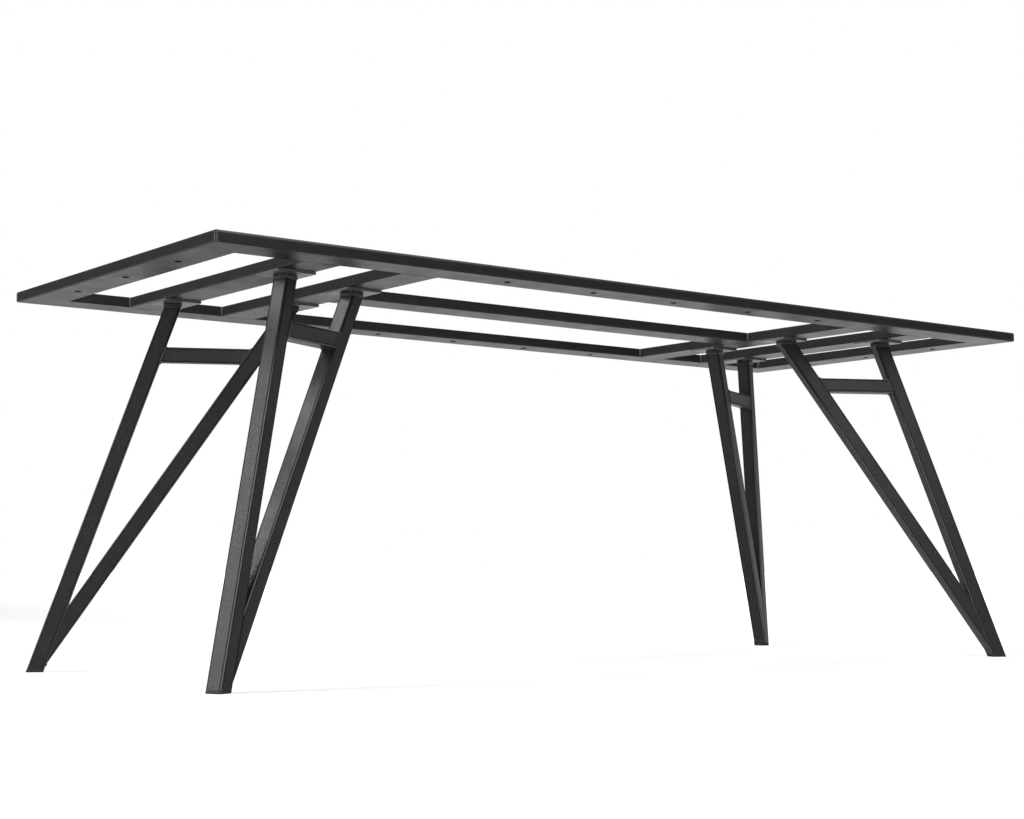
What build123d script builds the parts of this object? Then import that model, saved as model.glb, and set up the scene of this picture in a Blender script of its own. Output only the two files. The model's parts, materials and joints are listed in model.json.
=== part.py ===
import os

from build123d import *

os.makedirs("parts", exist_ok=True)

# Overall sizes of the frame in millimetres. The floor is z = 0 and the middle of the frame is x = y = 0.
frame_length = 2000
frame_width = 800
frame_height = 720

# Flat hollow section of the rails and bars
rail_width = 75
rail_depth = 20
rail_wall = 2
rail_corner = 3

# Square hollow section of the leg tubes and braces
tube_side = 30
tube_wall = 2
tube_corner = 3

# Distance from the frame's ends to the outer edge of the outer cross bars, and from bar to bar
outer_bar_inset = 200
bar_spacing = 200

# Screw holes for the tabletop
hole_radius = 6
hole_pitch = 200
side_holes = 5
end_holes = 3

# Mounting plates, as wide as the bars above them, with insets from the frame's long edges
plate_thickness = 4
plate_corner = 1
outer_plate_inset = 190
plate_step = 100

# Legs
cap_height = 7
cap_round = 1.2
foot_inset_x = 38
foot_inset_y = 39
apex_height = 20
brace_drop = 102
glide_height = 6

# Values that follow
plate_side = rail_width
underside = frame_height - rail_depth
rail_middle = frame_height - rail_depth / 2
outer_bar_x = frame_length / 2 - outer_bar_inset - rail_width / 2
inner_bar_x = outer_bar_x - bar_spacing
outer_plate_y = frame_width / 2 - outer_plate_inset
inner_plate_y = outer_plate_y - plate_step
plate_bottom = underside - plate_thickness
tube_top = plate_bottom - cap_height
brace_height = underside - brace_drop
foot_x = frame_length / 2 - foot_inset_x
foot_y = frame_width / 2 - foot_inset_y
clear_width = frame_width - 2 * rail_width

# Reach of the shapes that trim the tubes, well past each cut
trim = 10 * tube_side


def export(builder, name):
    """Label one piece and write it to its file."""
    builder.part.label = name
    export_step(builder.part, f"parts/{name}.step")


def rail_section():
    """Draw the hollow section of a rail on the sketch in hand."""
    RectangleRounded(rail_width, rail_depth, rail_corner)
    Rectangle(rail_width - 2 * rail_wall, rail_depth - 2 * rail_wall, mode=Mode.SUBTRACT)


def tube_section():
    """Draw the hollow section of a leg tube on the sketch in hand."""
    RectangleRounded(tube_side, tube_side, tube_corner)
    Rectangle(tube_side - 2 * tube_wall, tube_side - 2 * tube_wall, mode=Mode.SUBTRACT)


def at_height(point, axis, height):
    """Slide a point along an axis until it reaches a height."""
    return point + axis * ((height - point.Z) / axis.Z)


# Side rails, mitred at both ends
for side, sign in (("near", -1), ("far", 1)):
    rail_y = sign * (frame_width - rail_width) / 2
    outer_y = sign * frame_width / 2
    inner_y = sign * clear_width / 2
    half_outer = frame_length / 2
    half_inner = frame_length / 2 - rail_width
    with BuildPart() as side_rail:
        rail_start = Plane(
            origin=(-half_outer, rail_y, rail_middle), x_dir=(0, 1, 0), z_dir=(1, 0, 0)
        )
        with BuildSketch(rail_start):
            rail_section()
        extrude(amount=frame_length)
        with BuildSketch(Plane.XY.offset(underside)):
            with BuildLine():
                Polyline(
                    (-half_outer, outer_y),
                    (half_outer, outer_y),
                    (half_inner, inner_y),
                    (-half_inner, inner_y),
                    close=True,
                )
            make_face()
        extrude(amount=rail_depth, mode=Mode.INTERSECT)
        with BuildSketch(Plane.XY.offset(underside)):
            with Locations((0, rail_y)):
                with GridLocations(hole_pitch, 0, side_holes, 1):
                    Circle(hole_radius)
        extrude(amount=rail_depth, mode=Mode.SUBTRACT)
    export(side_rail, f"side_rail_{side}")

# End rails, mitred to meet the side rails
for side, sign in (("left", -1), ("right", 1)):
    rail_x = sign * (frame_length - rail_width) / 2
    outer_x = sign * frame_length / 2
    inner_x = sign * (frame_length / 2 - rail_width)
    with BuildPart() as end_rail:
        rail_start = Plane(
            origin=(rail_x, -frame_width / 2, rail_middle), x_dir=(1, 0, 0), z_dir=(0, 1, 0)
        )
        with BuildSketch(rail_start):
            rail_section()
        extrude(amount=frame_width)
        with BuildSketch(Plane.XY.offset(underside)):
            with BuildLine():
                Polyline(
                    (outer_x, -frame_width / 2),
                    (outer_x, frame_width / 2),
                    (inner_x, clear_width / 2),
                    (inner_x, -clear_width / 2),
                    close=True,
                )
            make_face()
        extrude(amount=rail_depth, mode=Mode.INTERSECT)
        with BuildSketch(Plane.XY.offset(underside)):
            with Locations((rail_x, 0)):
                with GridLocations(0, hole_pitch, 1, end_holes):
                    Circle(hole_radius)
        extrude(amount=rail_depth, mode=Mode.SUBTRACT)
    export(end_rail, f"end_rail_{side}")

# Cross bars between the side rails, numbered from the left end
bar_positions = (-outer_bar_x, -inner_bar_x, inner_bar_x, outer_bar_x)
for number, bar_x in enumerate(bar_positions, start=1):
    with BuildPart() as cross_bar:
        bar_start = Plane(
            origin=(bar_x, -clear_width / 2, rail_middle), x_dir=(1, 0, 0), z_dir=(0, 1, 0)
        )
        with BuildSketch(bar_start):
            rail_section()
        extrude(amount=clear_width)
    export(cross_bar, f"cross_bar_{number}")

# Centre rail between the two inner cross bars
centre_length = 2 * inner_bar_x - rail_width
with BuildPart() as centre_rail:
    centre_start = Plane(
        origin=(-centre_length / 2, 0, rail_middle), x_dir=(0, 1, 0), z_dir=(1, 0, 0)
    )
    with BuildSketch(centre_start):
        rail_section()
    extrude(amount=centre_length)
export(centre_rail, "centre_rail")

# Four mirrored legs
legs = (
    ("near_left", -1, -1),
    ("far_left", -1, 1),
    ("near_right", 1, -1),
    ("far_right", 1, 1),
)
for leg, sign_x, sign_y in legs:
    foot = Vector(sign_x * foot_x, sign_y * foot_y, 0)
    outer_top = Vector(sign_x * outer_bar_x, sign_y * outer_plate_y, underside)
    inner_top = Vector(sign_x * inner_bar_x, sign_y * inner_plate_y, underside)
    outer_axis = (outer_top - foot).normalized()
    apex = at_height(foot, outer_axis, apex_height)
    inner_axis = (inner_top - apex).normalized()

    # Directions in the leg's plane: along the brace, and out of the two tubes' facing sides
    inward = (inner_top - outer_top).normalized()
    across = outer_axis.cross(inward).normalized()
    outer_side = (inward - outer_axis * inward.dot(outer_axis)).normalized()
    inner_side = (inner_axis * inward.dot(inner_axis) - inward).normalized()

    with BuildPart() as tube_outer:
        start = foot - outer_axis * tube_side
        with BuildSketch(Plane(origin=start, x_dir=across, z_dir=outer_axis)):
            tube_section()
        extrude(amount=(outer_top - start).length)
        with BuildSketch(Plane.XY.offset(glide_height)):
            Rectangle(2 * frame_length, 2 * frame_width)
        extrude(amount=tube_top - glide_height, mode=Mode.INTERSECT)
    export(tube_outer, f"tube_outer_{leg}")

    with BuildPart() as tube_inner:
        start = apex - inner_axis * 2 * tube_side
        with BuildSketch(Plane(origin=start, x_dir=across, z_dir=inner_axis)):
            tube_section()
        extrude(amount=(inner_top - start).length)
        facing = Plane(
            origin=apex + outer_side * (tube_side / 2), x_dir=across, z_dir=outer_side * -1
        )
        with BuildSketch(facing):
            Rectangle(2 * tube_side, 2 * trim)
        extrude(amount=trim, mode=Mode.SUBTRACT)
        with BuildSketch(Plane.XY.offset(tube_top)):
            with Locations((inner_top.X, inner_top.Y)):
                Rectangle(trim, trim)
        extrude(amount=trim, mode=Mode.SUBTRACT)
    export(tube_inner, f"tube_inner_{leg}")

    with BuildPart() as brace:
        brace_start = at_height(foot, outer_axis, brace_height)
        brace_end = at_height(apex, inner_axis, brace_height)
        with BuildSketch(Plane(origin=brace_start, x_dir=across, z_dir=inward)):
            tube_section()
        extrude(amount=(brace_end - brace_start).length)
        start_cut = Plane(
            origin=brace_start + outer_side * (tube_side / 2), x_dir=across, z_dir=outer_side * -1
        )
        with BuildSketch(start_cut):
            Rectangle(2 * tube_side, 4 * tube_side)
        extrude(amount=2 * tube_side, mode=Mode.SUBTRACT)
        end_cut = Plane(
            origin=brace_end + inner_side * (tube_side / 2), x_dir=across, z_dir=inner_side * -1
        )
        with BuildSketch(end_cut):
            Rectangle(2 * tube_side, 4 * tube_side)
        extrude(amount=2 * tube_side, mode=Mode.SUBTRACT)
    export(brace, f"brace_{leg}")

    with BuildPart() as glide:
        start = foot - outer_axis * tube_side
        with BuildSketch(Plane(origin=start, x_dir=across, z_dir=outer_axis)):
            RectangleRounded(tube_side, tube_side, tube_corner)
        extrude(amount=3 * tube_side)
        with BuildSketch(Plane.XY):
            with Locations((foot.X, foot.Y)):
                Rectangle(trim, trim)
        extrude(amount=glide_height, mode=Mode.INTERSECT)
    export(glide, f"glide_{leg}")

    # The caps and plates under each cross bar
    for place, top, axis in (("outer", outer_top, outer_axis), ("inner", inner_top, inner_axis)):
        side_dir = axis.cross(across).normalized()
        corners = []
        for a, b in ((-1, -1), (1, -1), (1, 1), (-1, 1)):
            corner = top + across * (a * tube_side / 2) + side_dir * (b * tube_side / 2)
            corner = at_height(corner, axis, tube_top)
            corners.append((corner.X, corner.Y))
        with BuildPart() as cap:
            with BuildSketch(Plane.XY.offset(tube_top)) as cap_outline:
                with BuildLine():
                    Polyline(*corners, close=True)
                make_face()
                fillet(cap_outline.vertices(), tube_corner)
            extrude(amount=cap_height)
            fillet(cap.faces().sort_by(Axis.Z)[0].edges(), cap_round)
            fillet(cap.faces().sort_by(Axis.Z)[-1].edges(), cap_round)
        export(cap, f"cap_{place}_{leg}")

        with BuildPart() as plate:
            with BuildSketch(Plane.XY.offset(plate_bottom)):
                with Locations((top.X, top.Y)):
                    Rectangle(plate_side, plate_side)
            extrude(amount=plate_thickness)
            fillet(plate.edges().filter_by(Axis.Z), plate_corner)
        export(plate, f"plate_{place}_{leg}")
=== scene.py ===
import json
import math

import bmesh
import bpy
from bpy.props import FloatProperty, FloatVectorProperty, IntProperty, PointerProperty
from bpy.types import Operator, Panel, PropertyGroup
from mathutils import Matrix, Vector


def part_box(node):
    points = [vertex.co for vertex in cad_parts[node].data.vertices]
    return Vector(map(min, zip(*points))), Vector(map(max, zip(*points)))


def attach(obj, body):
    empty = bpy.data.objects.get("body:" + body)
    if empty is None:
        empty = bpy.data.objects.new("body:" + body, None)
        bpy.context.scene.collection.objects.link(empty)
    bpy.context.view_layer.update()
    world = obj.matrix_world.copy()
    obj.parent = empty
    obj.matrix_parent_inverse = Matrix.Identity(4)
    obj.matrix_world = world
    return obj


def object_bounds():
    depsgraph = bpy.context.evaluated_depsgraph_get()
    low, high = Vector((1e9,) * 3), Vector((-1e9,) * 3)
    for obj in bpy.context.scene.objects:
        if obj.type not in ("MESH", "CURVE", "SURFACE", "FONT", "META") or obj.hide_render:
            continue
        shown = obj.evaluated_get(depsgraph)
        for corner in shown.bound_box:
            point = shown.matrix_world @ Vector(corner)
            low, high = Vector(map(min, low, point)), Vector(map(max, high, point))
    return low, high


bl_info = {
    "name": "Table Frame Finish",
    "version": (1, 0, 0),
    "blender": (4, 5, 0),
    "location": "View3D > Sidebar > Table Frame",
    "description": "Coats a steel table frame and adds its welds, hole lips and studio",
    "category": "Object",
}

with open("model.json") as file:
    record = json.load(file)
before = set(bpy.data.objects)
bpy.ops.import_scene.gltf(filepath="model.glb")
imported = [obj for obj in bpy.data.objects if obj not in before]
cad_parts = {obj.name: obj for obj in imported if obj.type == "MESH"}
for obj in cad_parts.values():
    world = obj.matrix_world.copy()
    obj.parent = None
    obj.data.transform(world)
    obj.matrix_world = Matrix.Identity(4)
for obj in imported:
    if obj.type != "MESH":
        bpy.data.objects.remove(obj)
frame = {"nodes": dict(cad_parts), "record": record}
CAD_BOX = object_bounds()

BODY = "root"
LEGS = ("near_left", "far_left", "near_right", "far_right")
RAILS = ("side_rail_near", "side_rail_far", "end_rail_left", "end_rail_right")
BARS = ("cross_bar_1", "cross_bar_2", "cross_bar_3", "cross_bar_4")
CENTRE_RAIL = "centre_rail"

MILLIMETRE = 0.001
TURN = 2 * math.pi
WHITE = (1.0, 1.0, 1.0, 1.0)

# Angles from the middle of the picture, in degrees, between which the backdrop turns from white to grey
FADE_START = 22
FADE_END = 44
BACKDROP_LEVEL = 1.0

# Greys of the floor for light that falls on it and for rays that see it
FLOOR_GREY = (0.8, 0.8, 0.8, 1.0)
SEEN_FLOOR_GREY = (0.3, 0.3, 0.3, 1.0)

# How much more the floor glows towards the right, and the places along X between which it rises
FLOOR_RISE = 0.95
FLOOR_RISE_SPAN = (0.5, 5.5)

# Each coat's painted light against the frame's colour, and how much smoother it is: one black coat made
# lighter for painted highlights on the braces, plates, caps, lips and welds, and darker for painted shade on
# the rails and bars
COATS = {
    "rail_coat": (0.65, 0.0),
    "bar_coat": (0.65, 0.0),
    "outer_tube_coat": (1.0, 0.0),
    "inner_tube_coat": (1.0, 0.0),
    "brace_coat": (1.5, 0.0),
    "plate_coat": (4.0, 0.03),
    "cap_coat": (1.6, 0.03),
    "cap_lip_coat": (2.6, 0.06),
    "plate_weld_coat": (4.0, 0.0),
    "corner_weld_coat": (3.5, 0.0),
    "leg_weld_coat": (2.0, 0.0),
    "rim_coat": (1.0, 0.0),
}
FRAME_SPECULAR = 0.12
PAD_SPECULAR = 0.02

# Tones of the coat against its own colour: thick and thin patches, peel and grain
THICK_TONE = 0.88
THIN_TONE = 1.14
PEEL_TONE = 2.0
GRAIN_TONE = 2.2

# How much of their tone the flecks of grain and peel reach, and the parts of the two patterns that make them
FLECK_SHARE = 0.6
GRAIN_RANGE = (0.5, 0.72)
PEEL_RANGE = (0.4, 0.75)

# Tones against the frame's colour: painted highlights along the rail edges, the tube corners and beside the
# mitres, painted shade along the tube corners, and the dark seams
RAIL_EDGE_HIGHLIGHT_TONE = 8.5
TUBE_CORNER_HIGHLIGHT_TONE = 6.5
TUBE_CORNER_SHADE_TONE = 0.5
MITRE_HIGHLIGHT_TONE = RAIL_EDGE_HIGHLIGHT_TONE * 0.45
SEAM_TONE = 0.12

# How far the coat's roughness swings with its patches and its grain, and the roughness of a tube's corners
PATCH_GLOSS = 0.035
GRAIN_GLOSS = 0.05
CORNER_ROUGHNESS = 0.8

# Relief of the coat: height and strength
PEEL_RELIEF = (0.5 * MILLIMETRE, 0.7)
GRAIN_RELIEF = (0.15 * MILLIMETRE, 0.7)
SEAM_RELIEF = (0.5 * MILLIMETRE, 0.8)
PAD_RELIEF = (0.08 * MILLIMETRE, 0.6)

# Distances from a mitre between which its painted highlight band ends, and a margin over the rails'
# underside
MITRE_HIGHLIGHT_BAND = (2.0 * MILLIMETRE, 4.5 * MILLIMETRE)
UNDERSIDE_MARGIN = 0.6 * MILLIMETRE

# The painted highlight along the top edge of a side rail: depths below the top where it starts and is full,
# its reach inwards, and its share at the right, which it has from this part of the half length
RAIL_HIGHLIGHT_DEPTHS = (5.0 * MILLIMETRE, 1.5 * MILLIMETRE)
RAIL_HIGHLIGHT_REACH = 4.0 * MILLIMETRE
RAIL_HIGHLIGHT_SHARE = 0.2
RAIL_HIGHLIGHT_END = 0.3

# The corners of the leg tubes: distances inside the square outline, in corner radii, where the painted shade
# line and its painted highlight in the middle start and are full, and the heights between which the painted
# highlight fades as painted shadow of the rails above
CORNER_SHADE_LINE = (1.7, 1.1)
CORNER_HIGHLIGHT_MIDDLE = (0.72, 0.64)
CORNER_HIGHLIGHT_FADE = (0.48, 0.58)

# Foot pads: widths of the moulded grain and of the scuffs, tones and roughness
PAD_GRAIN = 0.6 * MILLIMETRE
PAD_SCUFF = 6.0 * MILLIMETRE
PAD_TONES = (0.85, 1.25)
PAD_ROUGHNESS = (0.7, 0.85)

# Weld beads: sides of the bead, steps in one ripple, sharpness of the taper, scale and share of the lumps,
# tapers of the beads in upright corners and of those with free ends, and how uneven the cap lips are
BEAD_SIDES = 12
RIPPLE_STEPS = 4
TAPER_POWER = 16.0
LUMP_SCALE = 260.0
LUMP_SHARE = 0.35
CORNER_TAPER = 0.3
OPEN_TAPER = 0.5
LIP_UNEVENNESS = 0.15

# Places of the two cap lips, in bead radii: above the cap's bottom and below its top
LIP_RISE = 0.4
LIP_DROP = 1.6

# Points of a piece that lie closer together than this are merged
MERGE_DISTANCE = 1e-7

# Hole rims: steps round the hole and round the rim, and the share of the rim's width outside the hole
RING_STEPS = 48
RIM_SIDES = 10
RIM_OVERHANG = 0.3

# Camera
SENSOR_WIDTH = 36.0
VIEW_DISTANCE = 500.0

# Lamps: name, azimuth from +Y towards +X and elevation in degrees, distance, size, power
LAMP_TARGET = (-0.5, -0.1, 0.5)
LAMPS = (
    ("left_key_lamp", -69, 39, 6.0, 1.4, 175.0),
    ("low_side_lamp", -84, 20, 6.0, 2.6, 400.0),
    ("high_side_lamp", -50, 53, 6.0, 1.8, 270.0),
    ("front_key_lamp", 174, 36, 6.0, 1.3, 140.0),
    ("front_lamp", -172, 16, 6.0, 2.0, 215.0),
    ("right_lamp", 80, 20, 6.0, 2.6, 12.0),
)


class CoatLook(PropertyGroup):
    """Colours and grain of the powder coat and of the foot pads."""

    frame_colour: FloatVectorProperty(
        name="Frame Colour",
        description="Colour of the powder coat on the rails, bars and legs",
        subtype="COLOR",
        size=3,
        min=0.0,
        max=1.0,
        default=(0.0095, 0.0095, 0.01),
    )
    pad_colour: FloatVectorProperty(
        name="Pad Colour",
        description="Colour of the moulded foot pads",
        subtype="COLOR",
        size=3,
        min=0.0,
        max=1.0,
        default=(0.022, 0.022, 0.023),
    )
    roughness: FloatProperty(
        name="Roughness",
        description="Mean roughness of the powder coat",
        subtype="FACTOR",
        min=0.0,
        max=1.0,
        default=0.4,
    )
    peel_size: FloatProperty(
        name="Peel Size",
        description="Width of one ripple of the coat's orange peel",
        unit="LENGTH",
        min=0.0005,
        max=0.02,
        default=0.0032,
    )
    grain_size: FloatProperty(
        name="Grain Size",
        description="Width of one speck of the coat's fine grain",
        unit="LENGTH",
        min=0.0001,
        max=0.005,
        default=0.0009,
    )
    cloud_size: FloatProperty(
        name="Cloud Size",
        description="Width of the soft patches where the coat is a little thicker",
        unit="LENGTH",
        min=0.005,
        max=0.5,
        default=0.045,
    )
    seam_width: FloatProperty(
        name="Seam Width",
        description="Width of the line that shows at a mitred corner",
        unit="LENGTH",
        min=0.0001,
        max=0.005,
        default=0.0013,
    )


class WeldSizes(PropertyGroup):
    """Sizes of the weld beads and of the rims round the screw holes."""

    corner_bead: FloatProperty(
        name="Corner Bead",
        description="Radius of the beads in the upright corners of the frame",
        unit="LENGTH",
        min=0.0005,
        max=0.006,
        default=0.0026,
    )
    plate_bead: FloatProperty(
        name="Plate Bead",
        description="Radius of the beads along the mounting plates",
        unit="LENGTH",
        min=0.0005,
        max=0.004,
        default=0.0014,
    )
    leg_bead: FloatProperty(
        name="Leg Bead",
        description="Radius of the beads at the braces and where two leg tubes meet",
        unit="LENGTH",
        min=0.0005,
        max=0.005,
        default=0.0020,
    )
    cap_bead: FloatProperty(
        name="Cap Bead",
        description="Radius of the rounded lips round the caps of the leg tubes",
        unit="LENGTH",
        min=0.0003,
        max=0.003,
        default=0.0016,
    )
    ripple_pitch: FloatProperty(
        name="Ripple Pitch",
        description="Distance from one ripple of a bead to the next",
        unit="LENGTH",
        min=0.0005,
        max=0.01,
        default=0.0024,
    )
    ripple_depth: FloatProperty(
        name="Ripple Depth",
        description="Share of the bead's radius that its ripples take",
        subtype="FACTOR",
        min=0.0,
        max=0.5,
        default=0.07,
    )
    rim_width: FloatProperty(
        name="Rim Width",
        description="Width of the raised rim round each screw hole",
        unit="LENGTH",
        min=0.0002,
        max=0.003,
        default=0.0011,
    )
    apex_height: FloatProperty(
        name="Apex Height",
        description="Height at which the middle lines of a leg's two tubes meet",
        unit="LENGTH",
        min=0.0,
        max=0.2,
        default=0.020,
    )
    tube_side: FloatProperty(
        name="Tube Side",
        description="Outer width of the leg tubes and braces",
        unit="LENGTH",
        min=0.005,
        max=0.1,
        default=0.030,
    )
    tube_corner: FloatProperty(
        name="Tube Corner",
        description="Radius of the corners of the leg tubes",
        unit="LENGTH",
        min=0.0005,
        max=0.01,
        default=0.003,
    )
    seed: IntProperty(
        name="Seed",
        description="Picks the unevenness of the beads",
        default=7,
    )


class StudioLook(PropertyGroup):
    """Floor, backdrop, lamps and camera."""

    floor_size: FloatProperty(
        name="Floor Size",
        description="Width of the floor",
        unit="LENGTH",
        min=2.0,
        max=200.0,
        default=160.0,
    )
    dome_level: FloatProperty(
        name="Dome Level",
        description="Strength of the even light from all round",
        min=0.0,
        max=2.0,
        default=0.3,
    )
    side_level: FloatProperty(
        name="Side Level",
        description="Brightness of the backdrop away from the picture, where the middle of it is 1",
        min=0.0,
        max=1.0,
        default=0.15,
    )
    floor_glow: FloatProperty(
        name="Floor Glow",
        description="Share of the floor's whiteness that the object's shadow doesn't reach",
        min=0.0,
        max=1.0,
        default=0.61,
    )
    camera_place: FloatVectorProperty(
        name="Camera Place",
        description="Place of the camera",
        subtype="XYZ",
        unit="LENGTH",
        size=3,
        default=(-2.28358, -2.83357, 0.19258),
    )
    camera_heading: FloatProperty(
        name="Camera Heading",
        description="Turn of the view from straight across the frame towards its right end",
        unit="ROTATION",
        default=0.653977,
    )
    camera_pitch: FloatProperty(
        name="Camera Pitch",
        description="Upward tilt of the view",
        unit="ROTATION",
        default=0.090025,
    )
    camera_roll: FloatProperty(
        name="Camera Roll",
        description="Roll of the view",
        unit="ROTATION",
        default=0.0003,
    )
    lens: FloatProperty(
        name="Lens",
        description="Focal length on a sensor 36 mm wide",
        unit="CAMERA",
        default=62.084,
    )


def coat_look():
    """The coat's settings."""
    return bpy.context.scene.table_frame_coat


def weld_sizes():
    """The weld's settings."""
    return bpy.context.scene.table_frame_weld


def studio_look():
    """The studio's settings."""
    return bpy.context.scene.table_frame_studio


def new_material(name):
    """A material with an empty tree, its output and a Principled shader."""
    material = bpy.data.materials.new(name)
    material.use_nodes = True
    tree = material.node_tree
    tree.nodes.clear()
    output = tree.nodes.new("ShaderNodeOutputMaterial")
    shader = tree.nodes.new("ShaderNodeBsdfPrincipled")
    tree.links.new(shader.outputs["BSDF"], output.inputs["Surface"])
    return material, tree, shader


def noise(tree, vector, size, detail, roughness=0.5):
    """A noise pattern whose features are about one size wide."""
    node = tree.nodes.new("ShaderNodeTexNoise")
    node.inputs["Scale"].default_value = 1.0 / size
    node.inputs["Detail"].default_value = detail
    node.inputs["Roughness"].default_value = roughness
    tree.links.new(vector, node.inputs["Vector"])
    return node.outputs["Fac"]


def math_node(tree, operation, first, second=None, third=None):
    """One Math node fed by sockets or numbers."""
    node = tree.nodes.new("ShaderNodeMath")
    node.operation = operation
    for socket, value in zip(node.inputs, (first, second, third)):
        if value is None:
            continue
        if isinstance(value, (int, float)):
            socket.default_value = value
        else:
            tree.links.new(value, socket)
    return node.outputs[0]


def spread(tree, value, low, high, start=0.3, end=0.7):
    """A value's range from start to end stretched over low to high, and held there outside it."""
    node = tree.nodes.new("ShaderNodeMapRange")
    node.inputs["From Min"].default_value = start
    node.inputs["From Max"].default_value = end
    node.inputs["To Min"].default_value = low
    node.inputs["To Max"].default_value = high
    tree.links.new(value, node.inputs["Value"])
    return node.outputs["Result"]


def mix_colours(tree, factor, first, second):
    """A colour between two others."""
    node = tree.nodes.new("ShaderNodeMix")
    node.data_type = "RGBA"
    tree.links.new(factor, node.inputs[0])
    for socket, value in ((node.inputs[6], first), (node.inputs[7], second)):
        if isinstance(value, tuple):
            socket.default_value = value
        else:
            tree.links.new(value, socket)
    return node.outputs[2]


def bump(tree, height, distance, strength, below=None):
    """A bump of that height, in metres, on top of another one."""
    node = tree.nodes.new("ShaderNodeBump")
    node.inputs["Distance"].default_value = distance
    node.inputs["Strength"].default_value = strength
    tree.links.new(height, node.inputs["Height"])
    if below is not None:
        tree.links.new(below, node.inputs["Normal"])
    return node.outputs["Normal"]


def shade(colour, factor):
    """A colour made lighter or darker, with its alpha."""
    return tuple(part * factor for part in colour) + (1.0,)


def mitre_line(tree, place, start, end):
    """1 up to the start distance from the lines where the mitred rails meet, and 0 past the end."""
    axes = tree.nodes.new("ShaderNodeSeparateXYZ")
    tree.links.new(place, axes.inputs[0])
    along = math_node(tree, "ABSOLUTE", axes.outputs["X"])
    across = math_node(tree, "ABSOLUTE", axes.outputs["Y"])
    low, high = CAD_BOX
    offset = (high[0] - low[0] - high[1] + low[1]) / 2
    gap = math_node(tree, "SUBTRACT", math_node(tree, "SUBTRACT", along, across), offset)
    distance = math_node(tree, "DIVIDE", math_node(tree, "ABSOLUTE", gap), math.sqrt(2))
    line = spread(tree, distance, 1.0, 0.0, start, end)
    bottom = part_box("side_rail_near")[0].z
    above = math_node(tree, "GREATER_THAN", axes.outputs["Z"], bottom + UNDERSIDE_MARGIN)
    return math_node(tree, "MULTIPLY", line, above)


def rail_edge_highlight(tree, place):
    """Mask of the painted highlight: 1 along the outer upper edges of the side rails, less towards the
    right, and 0 on their flats.
    """
    axes = tree.nodes.new("ShaderNodeSeparateXYZ")
    tree.links.new(place, axes.inputs[0])
    low, high = CAD_BOX
    start, full = RAIL_HIGHLIGHT_DEPTHS
    rise = spread(tree, axes.outputs["Z"], 0.0, 1.0, high[2] - start, high[2] - full)
    highlight_fade = spread(tree, axes.outputs["X"], 1.0, RAIL_HIGHLIGHT_SHARE, low[0], high[0] * RAIL_HIGHLIGHT_END)
    across = math_node(tree, "ABSOLUTE", axes.outputs["Y"])
    outer = math_node(tree, "GREATER_THAN", across, high[1] - RAIL_HIGHLIGHT_REACH)
    return math_node(tree, "MULTIPLY", math_node(tree, "MULTIPLY", rise, highlight_fade), outer)


def tube_corner_highlight_and_shade(tree, place, kind):
    """Two shares along the corners of one kind of leg tube: the full corner, for a painted shade line, and
    its middle, for a painted highlight.

    Both are 0 on the flats. Except on a brace, the middle's painted highlight fades towards the top of the
    leg, as painted shadow of the rails above.
    Every point is folded into one quarter of the frame first, so the four mirrored legs share one pattern.
    """
    sizes = weld_sizes()
    line = leg_lines("far_right")
    across = line["across"]
    origin, side = {
        "outer": (line["foot"], line["outer_side"]),
        "inner": (line["apex"], line["inner_side"]),
        "brace": (line["brace_start"], line["inward"].cross(across)),
    }[kind]
    axes = tree.nodes.new("ShaderNodeSeparateXYZ")
    tree.links.new(place, axes.inputs[0])
    folded = tree.nodes.new("ShaderNodeCombineXYZ")
    tree.links.new(math_node(tree, "ABSOLUTE", axes.outputs["X"]), folded.inputs["X"])
    tree.links.new(math_node(tree, "ABSOLUTE", axes.outputs["Y"]), folded.inputs["Y"])
    tree.links.new(axes.outputs["Z"], folded.inputs["Z"])
    total = None
    for direction in (across, side):
        dot = tree.nodes.new("ShaderNodeVectorMath")
        dot.operation = "DOT_PRODUCT"
        dot.inputs[1].default_value = direction
        tree.links.new(folded.outputs["Vector"], dot.inputs[0])
        reach = math_node(tree, "SUBTRACT", dot.outputs["Value"], origin.dot(direction))
        reach = math_node(tree, "ABSOLUTE", reach)
        total = reach if total is None else math_node(tree, "ADD", total, reach)
    shares = []
    for start, full in (CORNER_SHADE_LINE, CORNER_HIGHLIGHT_MIDDLE):
        start = sizes.tube_side - start * sizes.tube_corner
        full = sizes.tube_side - full * sizes.tube_corner
        shares.append(spread(tree, total, 0.0, 1.0, start, full))
    corner_shade, middle = shares
    if kind != "brace":
        # The painted highlight fades towards the top of the leg, as painted shadow of the rails above
        highlight_fade = spread(tree, axes.outputs["Z"], 1.0, 0.0, CORNER_HIGHLIGHT_FADE[0], CORNER_HIGHLIGHT_FADE[1])
        middle = math_node(tree, "MULTIPLY", middle, highlight_fade)
    return corner_shade, middle


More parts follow.
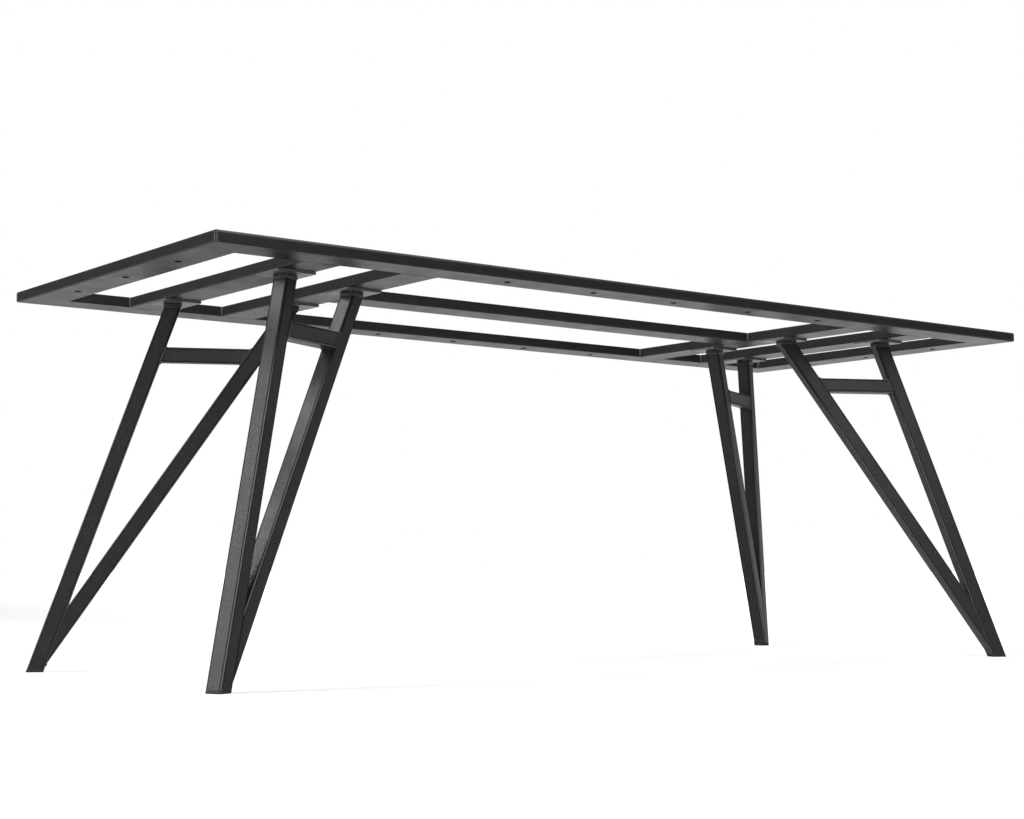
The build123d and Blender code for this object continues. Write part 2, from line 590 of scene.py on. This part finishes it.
def powder_coat(name, mitred=False, edges=None):
    """Satin black powder coat: fine grain on a soft orange peel, with thicker and thinner patches.

    Painted highlights lie over the rounded edges of the kind named by edges, with a painted shade line along
    the leg tube corners, and a painted highlight beside mitre seams.
    """
    look = coat_look()
    # The coat's colour is scaled by its painted light: lit and shaded copies of the same black coat
    painted_light, smoothness = COATS[name]
    material, tree, shader = new_material(name)
    place = tree.nodes.new("ShaderNodeTexCoord").outputs["Object"]
    colour = tuple(look.frame_colour)
    roughness = look.roughness - smoothness

    peel = noise(tree, place, look.peel_size, detail=2.0)
    grain = noise(tree, place, look.grain_size, detail=3.0, roughness=0.6)
    cloud = noise(tree, place, look.cloud_size, detail=3.0, roughness=0.55)

    tint = spread(tree, cloud, 0.0, 1.0)
    thick = shade(colour, THICK_TONE * painted_light)
    thin = shade(colour, THIN_TONE * painted_light)
    base = mix_colours(tree, tint, thick, thin)
    speck = spread(tree, grain, 0.0, FLECK_SHARE, *GRAIN_RANGE)
    base = mix_colours(tree, speck, base, shade(colour, GRAIN_TONE * painted_light))
    mottle = spread(tree, peel, 0.0, FLECK_SHARE, *PEEL_RANGE)
    base = mix_colours(tree, mottle, base, shade(colour, PEEL_TONE * painted_light))

    gloss = spread(tree, cloud, roughness - PATCH_GLOSS, roughness + PATCH_GLOSS)
    gloss = math_node(tree, "ADD", gloss, spread(tree, grain, -GRAIN_GLOSS, GRAIN_GLOSS))

    normal = bump(tree, peel, *PEEL_RELIEF)
    normal = bump(tree, grain, *GRAIN_RELIEF, normal)

    # Painted highlight along the top edges of the side rails
    if edges == "rail":
        base = mix_colours(tree, rail_edge_highlight(tree, place), base, shade(colour, RAIL_EDGE_HIGHLIGHT_TONE))
    elif edges is not None:
        # Painted shade line along each tube corner, with a rougher coat there, and a painted highlight in
        # its middle
        corner_shade, middle = tube_corner_highlight_and_shade(tree, place, edges)
        gloss = math_node(tree, "MAXIMUM", gloss, math_node(tree, "MULTIPLY", corner_shade, CORNER_ROUGHNESS))
        base = mix_colours(tree, corner_shade, base, shade(colour, TUBE_CORNER_SHADE_TONE))
        base = mix_colours(tree, middle, base, shade(colour, TUBE_CORNER_HIGHLIGHT_TONE))

    if mitred:
        # Painted highlight band beside each mitre, then the dark seam itself
        mitre_highlight = mitre_line(tree, place, *MITRE_HIGHLIGHT_BAND)
        base = mix_colours(tree, mitre_highlight, base, shade(colour, MITRE_HIGHLIGHT_TONE))
        seam = mitre_line(tree, place, look.seam_width / 4, look.seam_width / 2)
        base = mix_colours(tree, seam, base, shade(colour, SEAM_TONE))
        gloss = math_node(tree, "MAXIMUM", gloss, seam)
        dip = math_node(tree, "SUBTRACT", 1.0, seam)
        normal = bump(tree, dip, *SEAM_RELIEF, normal)

    tree.links.new(base, shader.inputs["Base Color"])
    tree.links.new(gloss, shader.inputs["Roughness"])
    tree.links.new(normal, shader.inputs["Normal"])
    shader.inputs["Specular IOR Level"].default_value = FRAME_SPECULAR
    return material


def pad_plastic():
    """Matt black moulded plastic with a fine even spark texture."""
    look = coat_look()
    material, tree, shader = new_material("foot_plastic")
    place = tree.nodes.new("ShaderNodeTexCoord").outputs["Object"]
    colour = tuple(look.pad_colour)
    spark = noise(tree, place, PAD_GRAIN, detail=2.0, roughness=0.6)
    scuff = noise(tree, place, PAD_SCUFF, detail=3.0, roughness=0.6)
    dark, pale = [shade(colour, tone) for tone in PAD_TONES]
    base = mix_colours(tree, spread(tree, scuff, 0.0, 1.0), dark, pale)
    normal = bump(tree, spark, *PAD_RELIEF)
    tree.links.new(base, shader.inputs["Base Color"])
    tree.links.new(spread(tree, spark, *PAD_ROUGHNESS), shader.inputs["Roughness"])
    tree.links.new(normal, shader.inputs["Normal"])
    shader.inputs["Specular IOR Level"].default_value = PAD_SPECULAR
    return material


def coat_nodes(names, material):
    """Give CAD nodes a material in every slot."""
    for name in names:
        node = frame["nodes"][name]
        if not node.material_slots:
            node.data.materials.append(material)
        for slot in node.material_slots:
            slot.link = "OBJECT"
            slot.material = material


def leg_nodes(*kinds):
    """Names of the CAD nodes of those kinds in all four legs."""
    return [f"{kind}_{leg}" for leg in LEGS for kind in kinds]


def line_mesh(name, paths):
    """A mesh of edges only. Each path is (points, closed)."""
    points = []
    edges = []
    for path, closed in paths:
        first = len(points)
        points.extend(path)
        count = len(path)
        edges.extend((first + i, first + i + 1) for i in range(count - 1))
        if closed:
            edges.append((first + count - 1, first))
    mesh = bpy.data.meshes.new(name)
    mesh.from_pydata(points, edges, [])
    return mesh


def node_group(name, inputs):
    """A Geometry Nodes tree with a geometry input, named inputs and a geometry output."""
    tree = bpy.data.node_groups.new(name, "GeometryNodeTree")
    tree.interface.new_socket("Geometry", in_out="INPUT", socket_type="NodeSocketGeometry")
    for label, kind in inputs:
        tree.interface.new_socket(label, in_out="INPUT", socket_type=kind)
    tree.interface.new_socket("Geometry", in_out="OUTPUT", socket_type="NodeSocketGeometry")
    return tree, tree.nodes.new("NodeGroupInput"), tree.nodes.new("NodeGroupOutput")


def finish_tree(tree, geometry, start, end):
    """Realize Instances and Set Material at the end of a tree."""
    realize = tree.nodes.new("GeometryNodeRealizeInstances")
    paint = tree.nodes.new("GeometryNodeSetMaterial")
    tree.links.new(geometry, realize.inputs["Geometry"])
    tree.links.new(realize.outputs["Geometry"], paint.inputs["Geometry"])
    tree.links.new(start.outputs["Material"], paint.inputs["Material"])
    tree.links.new(paint.outputs["Geometry"], end.inputs["Geometry"])


def bead_tree():
    """Weld beads along edges: a round bead with ripples, uneven and narrower at open ends."""
    tree, start, end = node_group(
        "weld_bead",
        (
            ("Bead Radius", "NodeSocketFloat"),
            ("Ripple Pitch", "NodeSocketFloat"),
            ("Ripple Depth", "NodeSocketFloat"),
            ("Lumps", "NodeSocketFloat"),
            ("End Taper", "NodeSocketFloat"),
            ("Seed", "NodeSocketInt"),
            ("Material", "NodeSocketMaterial"),
        ),
    )
    links = tree.links
    radius = start.outputs["Bead Radius"]

    to_curve = tree.nodes.new("GeometryNodeMeshToCurve")
    links.new(start.outputs["Geometry"], to_curve.inputs["Mesh"])
    resample = tree.nodes.new("GeometryNodeResampleCurve")
    resample.mode = "LENGTH"
    links.new(to_curve.outputs["Curve"], resample.inputs["Curve"])
    step = math_node(tree, "MULTIPLY", start.outputs["Ripple Pitch"], 1 / RIPPLE_STEPS)
    links.new(step, resample.inputs["Length"])

    along = tree.nodes.new("GeometryNodeSplineParameter")
    turns = math_node(tree, "DIVIDE", along.outputs["Length"], start.outputs["Ripple Pitch"])
    wave = math_node(tree, "SINE", math_node(tree, "MULTIPLY", turns, TURN))
    ripple = math_node(tree, "MULTIPLY_ADD", wave, start.outputs["Ripple Depth"], 1.0)
    from_middle = math_node(tree, "ABSOLUTE", math_node(tree, "SUBTRACT", along.outputs["Factor"], 0.5))
    near_end = math_node(tree, "POWER", math_node(tree, "MULTIPLY", from_middle, 2.0), TAPER_POWER)
    taper = math_node(tree, "MULTIPLY", near_end, start.outputs["End Taper"])
    shape = math_node(tree, "MULTIPLY", ripple, math_node(tree, "SUBTRACT", 1.0, taper))
    scale = math_node(tree, "MULTIPLY", shape, radius)

    profile = tree.nodes.new("GeometryNodeCurvePrimitiveCircle")
    profile.inputs["Resolution"].default_value = BEAD_SIDES
    profile.inputs["Radius"].default_value = 1.0
    sweep = tree.nodes.new("GeometryNodeCurveToMesh")
    sweep.inputs["Fill Caps"].default_value = True
    links.new(resample.outputs["Curve"], sweep.inputs["Curve"])
    links.new(profile.outputs["Curve"], sweep.inputs["Profile Curve"])
    links.new(scale, sweep.inputs["Scale"])

    lumps = tree.nodes.new("ShaderNodeTexNoise")
    lumps.noise_dimensions = "4D"
    lumps.inputs["Scale"].default_value = LUMP_SCALE
    lumps.inputs["Detail"].default_value = 1.0
    links.new(start.outputs["Seed"], lumps.inputs["W"])
    swell = math_node(tree, "MULTIPLY", math_node(tree, "SUBTRACT", lumps.outputs["Fac"], 0.5), radius)
    swell = math_node(tree, "MULTIPLY", swell, start.outputs["Lumps"])
    normal = tree.nodes.new("GeometryNodeInputNormal")
    push = tree.nodes.new("ShaderNodeVectorMath")
    push.operation = "SCALE"
    links.new(normal.outputs["Normal"], push.inputs[0])
    links.new(swell, push.inputs["Scale"])
    place = tree.nodes.new("GeometryNodeSetPosition")
    links.new(sweep.outputs["Mesh"], place.inputs["Geometry"])
    links.new(push.outputs["Vector"], place.inputs["Offset"])
    smooth = tree.nodes.new("GeometryNodeSetShadeSmooth")
    links.new(place.outputs["Geometry"], smooth.inputs["Geometry"])
    finish_tree(tree, smooth.outputs["Geometry"], start, end)
    return tree


def rim_tree():
    """A low rounded rim at each point, for the lips of the screw holes."""
    tree, start, end = node_group(
        "hole_rim",
        (
            ("Rim Radius", "NodeSocketFloat"),
            ("Rim Thickness", "NodeSocketFloat"),
            ("Material", "NodeSocketMaterial"),
        ),
    )
    links = tree.links
    ring = tree.nodes.new("GeometryNodeCurvePrimitiveCircle")
    ring.inputs["Resolution"].default_value = RING_STEPS
    links.new(start.outputs["Rim Radius"], ring.inputs["Radius"])
    profile = tree.nodes.new("GeometryNodeCurvePrimitiveCircle")
    profile.inputs["Resolution"].default_value = RIM_SIDES
    profile.inputs["Radius"].default_value = 1.0
    sweep = tree.nodes.new("GeometryNodeCurveToMesh")
    links.new(ring.outputs["Curve"], sweep.inputs["Curve"])
    links.new(profile.outputs["Curve"], sweep.inputs["Profile Curve"])
    links.new(start.outputs["Rim Thickness"], sweep.inputs["Scale"])
    smooth = tree.nodes.new("GeometryNodeSetShadeSmooth")
    links.new(sweep.outputs["Mesh"], smooth.inputs["Geometry"])
    scatter = tree.nodes.new("GeometryNodeInstanceOnPoints")
    links.new(start.outputs["Geometry"], scatter.inputs["Points"])
    links.new(smooth.outputs["Geometry"], scatter.inputs["Instance"])
    finish_tree(tree, scatter.outputs["Instances"], start, end)
    return tree


def grow(name, mesh, tree, values):
    """Run a tree on a mesh and keep the result as a plain piece."""
    source = bpy.data.objects.new(f"{name}_lines", mesh)
    bpy.context.scene.collection.objects.link(source)
    modifier = source.modifiers.new("grow", "NODES")
    modifier.node_group = tree
    for item in tree.interface.items_tree:
        if item.in_out == "INPUT" and item.name in values:
            modifier[item.identifier] = values[item.name]
    depsgraph = bpy.context.evaluated_depsgraph_get()
    result = bpy.data.meshes.new_from_object(source.evaluated_get(depsgraph))
    source.modifiers.remove(modifier)
    bpy.data.objects.remove(source)
    outward(result)
    result.name = name
    piece = bpy.data.objects.new(name, result)
    bpy.context.scene.collection.objects.link(piece)
    if not result.polygons:
        raise RuntimeError(f"{name} came out empty")
    return piece


def outward(mesh):
    """Merge doubles and turn all faces outwards."""
    work = bmesh.new()
    work.from_mesh(mesh)
    bmesh.ops.remove_doubles(work, verts=work.verts, dist=MERGE_DISTANCE)
    bmesh.ops.recalc_face_normals(work, faces=work.faces)
    work.to_mesh(mesh)
    work.free()


def add_welds(name, paths, radius, taper, material, unevenness=1.0):
    """Make one piece of weld beads along paths and fix it to the frame."""
    sizes = weld_sizes()
    values = {
        "Bead Radius": radius,
        "Ripple Pitch": sizes.ripple_pitch,
        "Ripple Depth": sizes.ripple_depth * unevenness,
        "Lumps": LUMP_SHARE * unevenness,
        "End Taper": taper,
        "Seed": sizes.seed,
        "Material": material,
    }
    piece = grow(name, line_mesh(name, paths), bead_tree(), values)
    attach(piece, BODY)
    return piece


def upright(x, y, low, high):
    """A short upright path."""
    return [Vector((x, y, low)), Vector((x, y, high))], False


def leg_lines(leg):
    """Middle lines and directions of one leg, worked out from its CAD nodes."""
    sizes = weld_sizes()

    def middle(node):
        low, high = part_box(node)
        return (low + high) / 2

    def top_of(node):
        low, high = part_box(node)
        return Vector(((low.x + high.x) / 2, (low.y + high.y) / 2, high.z))

    outer_top = top_of(f"plate_outer_{leg}")
    inner_top = top_of(f"plate_inner_{leg}")
    foot = middle(f"glide_{leg}")
    brace_height = middle(f"brace_{leg}").z
    outer_axis = (outer_top - foot).normalized()
    apex = at_height(foot, outer_axis, sizes.apex_height)
    inner_axis = (inner_top - apex).normalized()
    inward = (inner_top - outer_top).normalized()
    across = outer_axis.cross(inward).normalized()
    outer_side = (inward - outer_axis * inward.dot(outer_axis)).normalized()
    inner_side = (inner_axis * inward.dot(inner_axis) - inward).normalized()
    return {
        "foot": foot,
        "apex": apex,
        "outer_axis": outer_axis,
        "inner_axis": inner_axis,
        "inward": inward,
        "across": across,
        "outer_side": outer_side,
        "inner_side": inner_side,
        "brace_start": at_height(foot, outer_axis, brace_height),
        "brace_end": at_height(apex, inner_axis, brace_height),
    }


def at_height(point, axis, height):
    """Slide a point along an axis to a height."""
    return point + axis * ((height - point.z) / axis.z)


def section_points(side, corner, steps=4):
    """Outline of a square tube with round corners, as (u, v) pairs."""
    middle = side / 2 - corner
    points = []
    for quarter in range(4):
        u = middle if quarter in (0, 3) else -middle
        v = middle if quarter in (0, 1) else -middle
        for step in range(steps + 1):
            angle = (quarter + step / steps) * TURN / 4
            points.append((u + corner * math.cos(angle), v + corner * math.sin(angle)))
    return points


def onto_plane(point, direction, plane_point, normal):
    """Slide a point along a direction until it lies on a plane."""
    return point + direction * ((plane_point - point).dot(normal) / direction.dot(normal))


class TABLEFRAME_OT_coat_rails(Operator):
    """Give the rails and bars their powder coat"""

    bl_idname = "table_frame.coat_rails"
    bl_label = "Coat Rails and Bars"

    def execute(self, context):
        coat_nodes(RAILS, powder_coat("rail_coat", mitred=True, edges="rail"))
        coat_nodes(BARS + (CENTRE_RAIL,), powder_coat("bar_coat"))
        return {"FINISHED"}


class TABLEFRAME_OT_coat_legs(Operator):
    """Give the leg tubes and braces their powder coat"""

    bl_idname = "table_frame.coat_legs"
    bl_label = "Coat Legs"

    def execute(self, context):
        coat_nodes(leg_nodes("tube_outer"), powder_coat("outer_tube_coat", edges="outer"))
        coat_nodes(leg_nodes("tube_inner"), powder_coat("inner_tube_coat", edges="inner"))
        coat_nodes(leg_nodes("brace"), powder_coat("brace_coat", edges="brace"))
        return {"FINISHED"}


class TABLEFRAME_OT_coat_plates(Operator):
    """Give the mounting plates and the caps under them their powder coat"""

    bl_idname = "table_frame.coat_plates"
    bl_label = "Coat Plates"

    def execute(self, context):
        coat_nodes(leg_nodes("plate_outer", "plate_inner"), powder_coat("plate_coat"))
        coat_nodes(leg_nodes("cap_outer", "cap_inner"), powder_coat("cap_coat"))
        return {"FINISHED"}


class TABLEFRAME_OT_finish_pads(Operator):
    """Give the foot pads their moulded plastic"""

    bl_idname = "table_frame.finish_pads"
    bl_label = "Finish Foot Pads"

    def execute(self, context):
        coat_nodes(leg_nodes("glide"), pad_plastic())
        return {"FINISHED"}


class TABLEFRAME_OT_corner_welds(Operator):
    """Weld the upright corners where bars and rails meet"""

    bl_idname = "table_frame.corner_welds"
    bl_label = "Corner Welds"

    def execute(self, context):
        sizes = weld_sizes()
        margin = 0.8 * MILLIMETRE
        low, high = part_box(CENTRE_RAIL)
        bottom = low.z + margin
        top = high.z - margin
        paths = [upright(x, y, bottom, top) for x in (low.x, high.x) for y in (low.y, high.y)]
        for bar in BARS:
            low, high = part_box(bar)
            paths += [upright(x, y, bottom, top) for x in (low.x, high.x) for y in (low.y, high.y)]
        inner_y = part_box(BARS[0])[1].y
        inner_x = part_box("end_rail_right")[0].x
        paths += [upright(x, y, bottom, top) for x in (-inner_x, inner_x) for y in (-inner_y, inner_y)]
        material = powder_coat("corner_weld_coat")
        add_welds("corner_welds", paths, sizes.corner_bead, CORNER_TAPER, material)
        return {"FINISHED"}


class TABLEFRAME_OT_plate_welds(Operator):
    """Weld the two free edges of each mounting plate to its bar"""

    bl_idname = "table_frame.plate_welds"
    bl_label = "Plate Welds"

    def execute(self, context):
        sizes = weld_sizes()
        inset = 3 * MILLIMETRE
        paths = []
        for name in leg_nodes("plate_outer", "plate_inner"):
            low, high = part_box(name)
            for y in (low.y, high.y):
                ends = [Vector((low.x + inset, y, high.z)), Vector((high.x - inset, y, high.z))]
                paths.append((ends, False))
        material = powder_coat("plate_weld_coat")
        add_welds("plate_welds", paths, sizes.plate_bead, OPEN_TAPER, material)
        return {"FINISHED"}


class TABLEFRAME_OT_leg_welds(Operator):
    """Weld each brace to its tubes and each inner tube to its outer tube"""

    bl_idname = "table_frame.leg_welds"
    bl_label = "Leg Welds"

    def execute(self, context):
        sizes = weld_sizes()
        half = sizes.tube_side / 2
        outline = section_points(sizes.tube_side, sizes.tube_corner)
        rings = []
        crotches = []
        for leg in LEGS:
            line = leg_lines(leg)
            across = line["across"]
            up = line["inward"].cross(across)
            ends = (
                (line["brace_start"], line["outer_side"]),
                (line["brace_end"], line["inner_side"]),
            )
            for origin, side in ends:
                face = origin + side * half
                ring = []
                for u, v in outline:
                    point = origin + across * u + up * v
                    ring.append(onto_plane(point, line["inward"], face, side))
                rings.append((ring, True))
            face = line["apex"] + line["outer_side"] * half
            reach = half - sizes.tube_corner
            for sign in (1, -1):
                edge = line["apex"] + line["inner_side"] * (sign * half)
                middle = onto_plane(edge, line["inner_axis"], face, line["outer_side"])
                crotches.append(([middle - across * reach, middle + across * reach], False))
        material = powder_coat("leg_weld_coat")
        add_welds("brace_welds", rings, sizes.leg_bead, 0.0, material)
        add_welds("crotch_welds", crotches, sizes.leg_bead, OPEN_TAPER, material)
        return {"FINISHED"}


class TABLEFRAME_OT_cap_lips(Operator):
    """Add the two rounded lips round the cap of each leg tube"""

    bl_idname = "table_frame.cap_lips"
    bl_label = "Cap Lips"

    def execute(self, context):
        sizes = weld_sizes()
        outline = section_points(sizes.tube_side, sizes.tube_corner)
        paths = []
        for leg in LEGS:
            line = leg_lines(leg)
            for kind in ("outer", "inner"):
                low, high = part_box(f"cap_{kind}_{leg}")
                axis = line[f"{kind}_axis"]
                side = axis.cross(line["across"]).normalized()
                start = line["foot"] if kind == "outer" else line["apex"]
                base = at_height(start, axis, low.z)
                heights = (low.z + sizes.cap_bead * LIP_RISE, high.z - sizes.cap_bead * LIP_DROP)
                for height in heights:
                    level = Vector((0, 0, height - low.z))
                    ring = []
                    for u, v in outline:
                        point = base + line["across"] * u + side * v
                        ring.append(at_height(point, axis, low.z) + level)
                    paths.append((ring, True))
        material = powder_coat("cap_lip_coat")
        add_welds("cap_lips", paths, sizes.cap_bead, 0.0, material, LIP_UNEVENNESS)
        return {"FINISHED"}


class TABLEFRAME_OT_hole_rims(Operator):
    """Add the low rims that the coat leaves round the screw holes"""

    bl_idname = "table_frame.hole_rims"
    bl_label = "Hole Rims"

    def execute(self, context):
        sizes = weld_sizes()
        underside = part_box(CENTRE_RAIL)[0].z
        points = []
        radius = 0.0
        for mount in frame["record"]["mounts"]:
            if mount["kind"] != "bolt_pattern":
                continue
            dims = mount["dims"]
            radius = dims["hole_r_mm"] * MILLIMETRE
            half_x = (dims.get("spacing_x_mm") or 0.0) * MILLIMETRE / 2
            half_y = (dims.get("spacing_y_mm") or 0.0) * MILLIMETRE / 2
            centres = {(x, y) for x in (-half_x, half_x) for y in (-half_y, half_y)}
            points += [Vector((x, y, underside)) for x, y in sorted(centres)]
        mesh = bpy.data.meshes.new("hole_rims")
        mesh.from_pydata(points, [], [])
        values = {
            "Rim Radius": radius + sizes.rim_width * RIM_OVERHANG,
            "Rim Thickness": sizes.rim_width / 2,
            "Material": powder_coat("rim_coat"),
        }
        piece = grow("hole_rims", mesh, rim_tree(), values)
        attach(piece, BODY)
        return {"FINISHED"}


def backdrop_share(tree):
    """1 for rays that see the backdrop: camera, glossy and transmission rays."""
    path = tree.nodes.new("ShaderNodeLightPath")
    seen = math_node(tree, "MAXIMUM", path.outputs["Is Camera Ray"], path.outputs["Is Glossy Ray"])
    return math_node(tree, "MAXIMUM", seen, path.outputs["Is Transmission Ray"])


def floor_material():
    """Pale floor that glows enough to show white, and keeps a soft shadow."""
    material = bpy.data.materials.new("studio_floor")
    material.use_nodes = True
    tree = material.node_tree
    tree.nodes.clear()
    output = tree.nodes.new("ShaderNodeOutputMaterial")
    plain = tree.nodes.new("ShaderNodeBsdfDiffuse")
    plain.inputs["Color"].default_value = FLOOR_GREY
    shadowed = tree.nodes.new("ShaderNodeBsdfDiffuse")
    shadowed.inputs["Color"].default_value = SEEN_FLOOR_GREY
    glow = tree.nodes.new("ShaderNodeEmission")
    level = studio_look().floor_glow
    axes = tree.nodes.new("ShaderNodeSeparateXYZ")
    tree.links.new(tree.nodes.new("ShaderNodeTexCoord").outputs["Object"], axes.inputs[0])
    brighter = spread(tree, axes.outputs["X"], level, level + FLOOR_RISE, *FLOOR_RISE_SPAN)
    tree.links.new(brighter, glow.inputs["Strength"])
    both = tree.nodes.new("ShaderNodeAddShader")
    pick = tree.nodes.new("ShaderNodeMixShader")
    tree.links.new(shadowed.outputs["BSDF"], both.inputs[0])
    tree.links.new(glow.outputs["Emission"], both.inputs[1])
    tree.links.new(backdrop_share(tree), pick.inputs["Fac"])
    tree.links.new(plain.outputs["BSDF"], pick.inputs[1])
    tree.links.new(both.outputs["Shader"], pick.inputs[2])
    tree.links.new(pick.outputs["Shader"], output.inputs["Surface"])
    return material


def add_floor(size):
    """A plain square floor under the feet."""
    half = size / 2
    corners = [(-half, -half, 0), (half, -half, 0), (half, half, 0), (-half, half, 0)]
    mesh = bpy.data.meshes.new("studio_floor")
    mesh.from_pydata(corners, [], [(0, 1, 2, 3)])
    mesh.materials.append(floor_material())
    floor = bpy.data.objects.new("studio_floor", mesh)
    bpy.context.scene.collection.objects.link(floor)


def add_world(look):
    """An even dome of light, and a backdrop that is white in the picture and greyer round about."""
    world = bpy.data.worlds.new("studio_dome")
    bpy.context.scene.world = world
    world.use_nodes = True
    tree = world.node_tree
    tree.nodes.clear()
    output = tree.nodes.new("ShaderNodeOutputWorld")
    light = tree.nodes.new("ShaderNodeBackground")
    light.inputs["Strength"].default_value = look.dome_level
    light.inputs["Color"].default_value = WHITE
    direction = tree.nodes.new("ShaderNodeTexCoord").outputs["Generated"]
    facing = tree.nodes.new("ShaderNodeVectorMath")
    facing.operation = "DOT_PRODUCT"
    facing.inputs[1].default_value = view_direction(look)
    tree.links.new(direction, facing.inputs[0])
    fade = tree.nodes.new("ShaderNodeMapRange")
    fade.interpolation_type = "SMOOTHSTEP"
    fade.inputs["From Min"].default_value = math.cos(math.radians(FADE_END))
    fade.inputs["From Max"].default_value = math.cos(math.radians(FADE_START))
    fade.inputs["To Min"].default_value = look.side_level
    fade.inputs["To Max"].default_value = BACKDROP_LEVEL
    tree.links.new(facing.outputs["Value"], fade.inputs["Value"])
    white = tree.nodes.new("ShaderNodeBackground")
    white.inputs["Color"].default_value = WHITE
    tree.links.new(fade.outputs["Result"], white.inputs["Strength"])
    pick = tree.nodes.new("ShaderNodeMixShader")
    tree.links.new(backdrop_share(tree), pick.inputs["Fac"])
    tree.links.new(light.outputs["Background"], pick.inputs[1])
    tree.links.new(white.outputs["Background"], pick.inputs[2])
    tree.links.new(pick.outputs["Shader"], output.inputs["Surface"])


def view_direction(look):
    """The way the camera looks."""
    flat = math.cos(look.camera_pitch)
    return Vector(
        (
            math.sin(look.camera_heading) * flat,
            math.cos(look.camera_heading) * flat,
            math.sin(look.camera_pitch),
        )
    )


def lamp_place(azimuth, elevation, distance):
    """A place seen from the lamps' target. Azimuth turns from +Y towards +X, in degrees."""
    turn = math.radians(azimuth)
    rise = math.radians(elevation)
    flat = distance * math.cos(rise)
    offset = Vector((flat * math.sin(turn), flat * math.cos(turn), distance * math.sin(rise)))
    return Vector(LAMP_TARGET) + offset


def add_lamp(name, azimuth, elevation, distance, size, power):
    """A soft square lamp that faces the lamps' target."""
    data = bpy.data.lights.new(name, "AREA")
    data.shape = "SQUARE"
    data.size = size
    data.energy = power
    lamp = bpy.data.objects.new(name, data)
    lamp.location = lamp_place(azimuth, elevation, distance)
    lamp.rotation_euler = (Vector(LAMP_TARGET) - lamp.location).to_track_quat("-Z", "Y").to_euler()
    lamp.visible_camera = False
    bpy.context.scene.collection.objects.link(lamp)


def add_camera(look):
    """The camera at the photograph's viewing angle."""
    data = bpy.data.cameras.new("camera")
    data.sensor_fit = "HORIZONTAL"
    data.sensor_width = SENSOR_WIDTH
    data.lens = look.lens
    data.clip_end = VIEW_DISTANCE
    camera = bpy.data.objects.new("camera", data)
    turn = view_direction(look).to_track_quat("-Z", "Y").to_matrix().to_4x4()
    roll = Matrix.Rotation(look.camera_roll, 4, "Z")
    camera.matrix_world = Matrix.Translation(look.camera_place) @ turn @ roll
    bpy.context.scene.collection.objects.link(camera)
    bpy.context.scene.camera = camera


class TABLEFRAME_OT_studio(Operator):
    """Set the floor, the even light, the soft lamps and the camera"""

    bl_idname = "table_frame.studio"
    bl_label = "Studio"

    def execute(self, context):
        look = studio_look()
        context.scene.view_settings.view_transform = "Standard"
        add_floor(look.floor_size)
        add_world(look)
        for lamp in LAMPS:
            add_lamp(*lamp)
        add_camera(look)
        return {"FINISHED"}


class TABLEFRAME_PT_panel(Panel):
    """Lists the steps and settings of the table frame"""

    bl_idname = "TABLEFRAME_PT_panel"
    bl_label = "Table Frame"
    bl_space_type = "VIEW_3D"
    bl_region_type = "UI"
    bl_category = "Table Frame"

    def draw(self, context):
        layout = self.layout
        for operator in OPERATORS:
            layout.operator(operator.bl_idname)
        for settings in (coat_look(), weld_sizes(), studio_look()):
            box = layout.box()
            for name in settings.bl_rna.properties.keys():
                if name not in ("rna_type", "name"):
                    box.prop(settings, name)


OPERATORS = (
    TABLEFRAME_OT_coat_rails,
    TABLEFRAME_OT_coat_legs,
    TABLEFRAME_OT_coat_plates,
    TABLEFRAME_OT_finish_pads,
    TABLEFRAME_OT_corner_welds,
    TABLEFRAME_OT_plate_welds,
    TABLEFRAME_OT_leg_welds,
    TABLEFRAME_OT_cap_lips,
    TABLEFRAME_OT_hole_rims,
    TABLEFRAME_OT_studio,
)
CLASSES = (CoatLook, WeldSizes, StudioLook) + OPERATORS + (TABLEFRAME_PT_panel,)


def register():
    """Register the classes and attach the settings to the scene."""
    for item in CLASSES:
        bpy.utils.register_class(item)
    bpy.types.Scene.table_frame_coat = PointerProperty(type=CoatLook)
    bpy.types.Scene.table_frame_weld = PointerProperty(type=WeldSizes)
    bpy.types.Scene.table_frame_studio = PointerProperty(type=StudioLook)


def unregister():
    """Take the settings and the classes out again."""
    del bpy.types.Scene.table_frame_studio
    del bpy.types.Scene.table_frame_weld
    del bpy.types.Scene.table_frame_coat
    for item in reversed(CLASSES):
        bpy.utils.unregister_class(item)


def main():
    """Build every piece in order."""
    register()
    bpy.ops.table_frame.coat_rails()
    bpy.ops.table_frame.coat_legs()
    bpy.ops.table_frame.coat_plates()
    bpy.ops.table_frame.finish_pads()
    bpy.ops.table_frame.corner_welds()
    bpy.ops.table_frame.plate_welds()
    bpy.ops.table_frame.leg_welds()
    bpy.ops.table_frame.cap_lips()
    bpy.ops.table_frame.hole_rims()
    bpy.ops.table_frame.studio()


if __name__ == "__main__":
    main()
